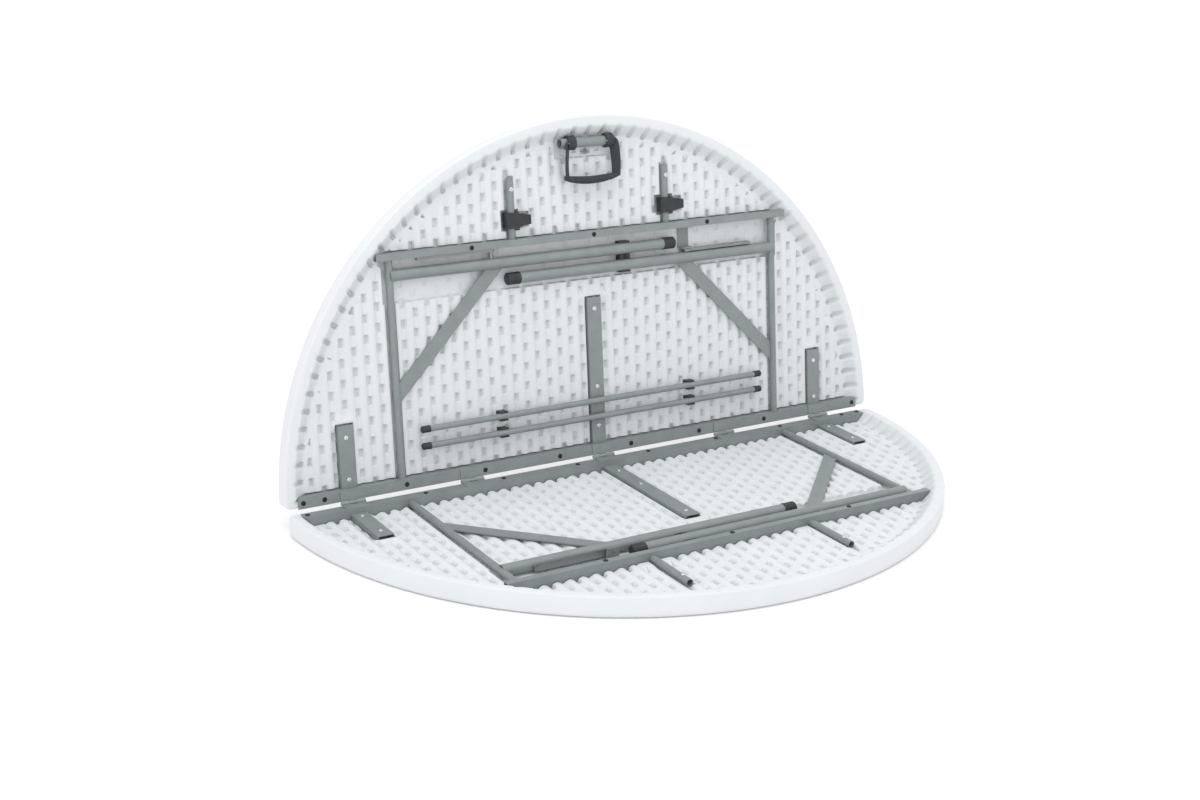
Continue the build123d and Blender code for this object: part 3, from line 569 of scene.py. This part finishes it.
def outline_normals(x, y):
    """Outward directions along the panel's outline."""
    cx, cy = corner_centre()
    in_corner = (np.abs(x) >= cx) & (y <= cy)
    straight = (y <= edge_y + 1e-6) & ~in_corner
    nx = np.where(in_corner, np.sign(x) * (np.abs(x) - cx), np.where(straight, 0, x))
    ny = np.where(in_corner, y - cy, np.where(straight, -1, y))
    length = np.hypot(nx, ny)
    return nx / length, ny / length


def make_panel(half):
    """One moulded half top as a closed mesh: underside, rim, side wall and face."""
    points, faces, chain, base = patch(half)
    ring_points, ring_faces, rows = rings(len(points))
    points += ring_points
    faces += ring_faces
    flat = np.array(points)
    x, y = flat[:, 0], flat[:, 1]
    angles = np.arctan2(y, x)
    faces += zipper(chain, rows[0], angles)
    depth = depth_of(x, y, half)
    depth = np.maximum(depth, np.minimum(depth + scoops(np.hypot(x, y), angles), pit_depth))
    depth = ledge(depth, y)
    depth = depth + round_over(edge_distance(x, y))
    loop = rows[-1] + [row[-1] for row in reversed(rows[:-1])] + base + [row[0] for row in rows[:-1]]
    lx, ly = x[loop], y[loop]
    nx, ny = outline_normals(lx, ly)
    solid = np.column_stack([x, y, -depth])
    profile = []
    for turn in range(0, 91, 18):
        inset = face_round * (1 - cos(radians(turn)))
        profile.append((inset, thickness - face_round * (1 - sin(radians(turn)))))
    profile.append((face_round + 1.5, thickness))
    previous = loop
    blocks = [solid]
    count = len(solid)
    for inset, level in profile:
        blocks.append(np.column_stack([lx - nx * inset, ly - ny * inset, np.full(len(loop), -level)]))
        current = list(range(count, count + len(loop)))
        count += len(loop)
        for k in range(len(loop)):
            n = (k + 1) % len(loop)
            faces.append((previous[k], current[k], current[n], previous[n]))
        previous = current
    faces.append(tuple(previous))
    piece = mesh_object(f"{half}_moulded_top", np.concatenate(blocks), faces, half, radians(50))
    return finish_piece(piece, f"{half}_half", "white_panel", FINISHES["white_panel"], f"{half}_panel")


# ---------------------------------------------------------------- turned and lofted pieces
def turned(profile, centre, along, steps=36):
    """A profile of (distance, radius) turned about an axis. A closed loop where its ends don't reach it."""
    along = np.array(along, float) / np.linalg.norm(along)
    first = np.cross(along, (0, 0, 1) if abs(along[2]) < 0.9 else (1, 0, 0))
    first /= np.linalg.norm(first)
    second = np.cross(along, first)
    turns = np.linspace(0, 2 * pi, steps, endpoint=False)
    circle = np.outer(np.cos(turns), first) + np.outer(np.sin(turns), second)
    points = np.concatenate([np.asarray(centre, float) + along * a + circle * r for a, r in profile])
    return points, loft_faces(len(profile), steps, profile[0][1] > 0.01)


def loft_faces(rows, steps, closed):
    """Faces between rows of steps points; the rows close on themselves, or their ends are capped."""
    faces = []
    for row in range(rows if closed else rows - 1):
        a, b = row * steps, (row + 1) % rows * steps
        for k in range(steps):
            n = (k + 1) % steps
            faces.append([a + k, a + n, b + n, b + k])
    if not closed:
        faces.append(list(range(steps))[::-1])
        faces.append([(rows - 1) * steps + k for k in range(steps)])
    return faces


def joined(parts):
    """Several parts as one."""
    points, faces, start = [], [], 0
    for part_points, part_faces in parts:
        points.append(part_points)
        faces += [[i + start for i in face] for face in part_faces]
        start += len(part_points)
    return np.concatenate(points), faces


def rounded_section(width, height, steps, power=4.0):
    """A superellipse of steps points: a rectangle with soft corners."""
    turns = np.linspace(0, 2 * pi, steps, endpoint=False)
    c, s = np.cos(turns), np.sin(turns)
    return np.stack([
        np.sign(c) * np.abs(c) ** (2 / power) * width / 2,
        np.sign(s) * np.abs(s) ** (2 / power) * height / 2,
    ], 1)


def loose_parts(node, half):
    """The lowest and highest corner of each separate solid of a CAD node, in its half's frame."""
    mesh = frame["nodes"][node].data
    points = np.round(points_of(node, half), 3)
    same, label = np.unique(points, axis=0, return_inverse=True)
    parent = list(range(len(same)))

    def root(i):
        while parent[i] != i:
            parent[i] = parent[parent[i]]
            i = parent[i]
        return i

    for edge in mesh.edges:
        a, b = (root(label.reshape(-1)[v]) for v in edge.vertices)
        parent[a] = b
    roots = np.array([root(i) for i in range(len(same))])
    return [(same[roots == r].min(0), same[roots == r].max(0)) for r in np.unique(roots)]


# ---------------------------------------------------------------- screws, rivets and caps
def pan_head(x, y, seat, top, head_radius, recess):
    """A domed head, with a cross recess, and a short shank under it."""
    height = top - seat
    steps = 32
    rows = [(0.45, seat - 2.0), (0.5, seat), (1.0, seat), (1.0, seat + 0.45 * height)]
    points = []
    turns = np.linspace(0, 2 * pi, steps, endpoint=False)
    for share, z in rows:
        r = share * head_radius
        points += [(x + r * cos(t), y + r * sin(t), z) for t in turns]
    for share in (0.92, 0.78, 0.62, 0.52, 0.4, 0.28, 0.16, 0.05):
        r = share * head_radius
        dome = seat + height * (0.45 + 0.55 * sqrt(1 - share**2))
        for t in turns:
            arm = min(abs(r * cos(t)), abs(r * sin(t)))
            sunk = recess and share < 0.6 and arm < 0.16 * head_radius
            points.append((x + r * cos(t), y + r * sin(t), dome - (0.55 * height if sunk else 0)))
    return np.array(points), loft_faces(len(points) // steps, steps, False)


def make_heads(name, node, half, body, slot, recess, spread=1.0, others=()):
    """Domed heads in place of a CAD node's plain ones. Those inside another node's box get its own slot."""
    groups = {}
    for low, high in loose_parts(node, half):
        middle = (low + high) / 2
        finish = slot
        for other, other_slot in others:
            box_low, box_high = room_of(other, half)
            if np.all(middle[:2] > box_low[:2]) and np.all(middle[:2] < box_high[:2]):
                finish = other_slot
        head_radius = (high[0] - low[0]) / 2 * spread
        seat = high[2] - head_height(node)
        head = pan_head(middle[0], middle[1], seat, high[2], head_radius, recess)
        groups.setdefault(finish, []).append(head)
    for finish, heads in groups.items():
        piece = mesh_object(f"{name}_{finish}", *joined(heads), half, radians(38))
        finish_piece(piece, body, finish, FINISHES[finish], node)


def head_height(node):
    """How tall a node's heads are, in millimetres."""
    return 1.0 if "rivets" in node else 1.8


def make_cap(name, node, half, body, tube_node):
    """A moulded cup on a tube's end: a rounded closed end, fine grip rings and a lip at its mouth."""
    tube_low, tube_high = room_of(tube_node, half)
    middle = (tube_low + tube_high) / 2
    parts = []
    for low, high in loose_parts(node, half):
        cap = (high[1] - low[1]) / 2
        length = high[0] - low[0]
        outward = 1 if (low[0] + high[0]) / 2 > middle[0] else -1
        tip = high[0] if outward > 0 else low[0]
        bore = cap - 0.95
        profile = [(0, 0.001), (0, 0.55 * cap), (0.25, 0.72 * cap), (0.9, 0.86 * cap)]
        profile += [(2.0, 0.95 * cap), (3.4, cap)]
        for k in range(int((length - 11) / 2.4)):
            a = 5.0 + 2.4 * k
            profile += [(a, cap), (a + 0.5, cap - 0.45), (a + 1.0, cap - 0.45), (a + 1.5, cap)]
        profile += [(length - 3.2, cap), (length - 2.6, cap + 0.35), (length - 0.8, cap + 0.35)]
        profile += [(length, cap - 0.1), (length, bore), (4.5, bore), (4.5, 0.001)]
        centre = (tip, (low[1] + high[1]) / 2, (low[2] + high[2]) / 2)
        parts.append(turned(profile, centre, (-outward, 0, 0), 40))
    piece = mesh_object(name, *joined(parts), half, radians(50))
    finish_piece(piece, body, "black_plastic", FINISHES["black_plastic"], node)


# ---------------------------------------------------------------- carrying handle
def make_handle():
    """Two collars, two belts that lean out at 45 degrees, and a bowed grip with finger ribs."""
    pivot = HALVES["upper"].inverted() @ Vector(joints["handle_swing"]["pos_m"])
    collar = [(0, 11.1), (0, 14.6), (0.7, 15.6), (1.6, 16), (6, 16), (6.6, 15.3)]
    collar += [(13.4, 15.3), (14, 16), (18.4, 16), (19.3, 15.6), (20, 14.6), (20, 11.1)]
    parts = []
    for side in (-1, 1):
        parts.append(turned(collar, (side * 48 - 10, 0, 0), (1, 0, 0), 48))
        parts.append(belt(side))
    parts.append(bowed_grip())
    points, faces = joined(parts)
    points = points + np.array(pivot)
    piece = mesh_object("handle_moulding", points, faces, "upper", radians(42))
    finish_piece(piece, "handle", "handle_rubber", FINISHES["handle_rubber"], "handle")


def belt(side):
    """A flat strap from the top of a collar to the end of the grip."""
    knots = [(50, 6.5, 3.5), (57, 1, 7.5), (60, -14, 9.5), (62, -36, 9.5), (63, -58, 9.5), (61.5, -78, 9.5)]
    knots = np.array(knots)
    knots[:, 0] *= side
    count = 22
    t = np.linspace(0, len(knots) - 1, count)
    path = np.stack([np.interp(t, range(len(knots)), knots[:, i]) for i in range(3)], 1)
    for _ in range(3):
        path[1:-1] = (path[:-2] + 2 * path[1:-1] + path[2:]) / 4
    across = np.array((side, 0, 1)) / sqrt(2)
    rows = []
    for i, place in enumerate(path):
        share = i / (count - 1)
        tangent = path[min(i + 1, count - 1)] - path[max(i - 1, 0)]
        flat = np.cross(tangent, across)
        flat /= np.linalg.norm(flat)
        section = rounded_section(26 - 7 * share, 4.2 - 0.6 * sin(pi * share), 24, 5)
        rows.append(place + np.outer(section[:, 0], across) + np.outer(section[:, 1], flat))
    return np.concatenate(rows), loft_faces(count, 24, False)


def bowed_grip():
    """The grip: a bow with soft corners, thin at its ends, with slanted finger ribs low on its front."""
    half_length = 68
    count = 121
    steps = 40
    rows = []
    for i in range(count):
        x = -half_length + 2 * half_length * i / (count - 1)
        share = abs(x) / half_length
        middle = -82.5 + 8.0 * share**2
        height = 17 * (1 - 0.42 * share**3)
        depth = 15 * (1 - 0.22 * share**3)
        section = rounded_section(height, depth, steps, 3.2)
        rib = 0.5 + 0.5 * cos(2 * pi * x / 6.2) if abs(x) < 47 else 0
        low_front = np.clip(-section[:, 0] / height + section[:, 1] / depth - 0.25, 0, 0.5) * 2
        section = section * (1 - 0.26 * rib * low_front)[:, None]
        rows.append(np.stack([
            x + 0.35 * section[:, 0] * low_front, middle + section[:, 0], 9.5 + section[:, 1]
        ], 1))
    return np.concatenate(rows), loft_faces(count, steps, False)


def make_small_pieces():
    """Every screw, rivet and cap, and the handle."""
    for half in HALVES:
        body = f"{half}_half"
        make_heads(f"{half}_rail_heads", f"{half}_rail_screws", half, body, "black_screws", True, 1.3)
        others = [(f"{half}_leg_clip", "black_screws")]
        if half == "upper":
            others.append(("handle_bar", "grey_steel"))
        make_heads(f"{half}_heads", f"{half}_small_screws", half, body, "zinc_screws", True, 1.2, others)
        make_heads(f"{half}_rivet_heads", f"{half}_hinge_rivets", half, body, "hinge_steel", False)
        for place in ("outer", "inner"):
            stem = f"{half}_{place}"
            make_cap(f"{stem}_foot_cap", f"{stem}_foot", half, f"{stem}_leg_frame", f"{stem}_leg")
    for number in (1, 2):
        rod = f"tie_rod_{number}"
        make_cap(f"{rod}_end_caps", f"{rod}_caps", "upper", rod, rod)
    make_handle()


# ---------------------------------------------------------------- stage, light and camera
def make_floor():
    """A plain pale floor under the table."""
    size = 12.0
    mesh = bpy.data.meshes.new("studio_floor")
    corners = [(-size, -size, 0), (size, -size, 0), (size, size, 0), (-size, size, 0)]
    mesh.from_pydata(corners, [], [(0, 1, 2, 3)])
    floor = bpy.data.objects.new("studio_floor", mesh)
    bpy.context.scene.collection.objects.link(floor)
    material, tree, shader = node_material("floor_paper", 0.9, specular=0.1)
    mottle = noise(tree, 2.0)
    paper = ramp(tree, mottle.outputs["Fac"], 0.3, 0.7, (0.955, 0.955, 0.955), (0.97, 0.97, 0.97))
    tree.links.new(paper.outputs["Color"], shader.inputs["Base Color"])
    floor.data.materials.append(material)


def area_light(name, place, target, size, power):
    """A soft square lamp that looks at a target."""
    lamp = bpy.data.lights.new(name, "AREA")
    lamp.size = size
    lamp.energy = power
    holder = bpy.data.objects.new(name, lamp)
    holder.location = place
    holder.rotation_euler = (Vector(target) - Vector(place)).to_track_quat("-Z", "Y").to_euler()
    bpy.context.scene.collection.objects.link(holder)


def make_light():
    """A white surround with a soft lamp overhead and one in front."""
    world = bpy.data.worlds.new("studio")
    world.use_nodes = True
    world.node_tree.nodes["Background"].inputs["Color"].default_value = (1, 1, 1, 1)
    world.node_tree.nodes["Background"].inputs["Strength"].default_value = 1.06
    bpy.context.scene.world = world
    centre = (0, 0.2, 0.3)
    area_light("overhead", (-0.6, -0.4, 3.4), centre, 2.2, 31)
    area_light("front_left", (-2.6, -3.0, 1.9), centre, 2.0, 9)
    bpy.context.scene.view_settings.view_transform = "Standard"


def make_camera():
    """The camera, low and to the left of the hinge line's middle."""
    data = bpy.data.cameras.new("camera")
    data.sensor_width = 36.0
    data.lens = 52.64
    data.clip_end = 50.0
    camera = bpy.data.objects.new("camera", data)
    place = Vector((-1.9816, -2.7828, 1.4141))
    target = Vector((-0.0131, 0.381, 0.1796))
    roll = radians(1.52)
    look = (target - place).to_track_quat("-Z", "Y")
    camera.rotation_mode = "QUATERNION"
    camera.rotation_quaternion = look @ Matrix.Rotation(roll, 4, "Z").to_quaternion()
    camera.location = place
    bpy.context.scene.collection.objects.link(camera)
    bpy.context.scene.camera = camera


dress_frame()
for half in HALVES:
    make_panel(half)
make_small_pieces()
make_floor()
make_light()
make_camera()
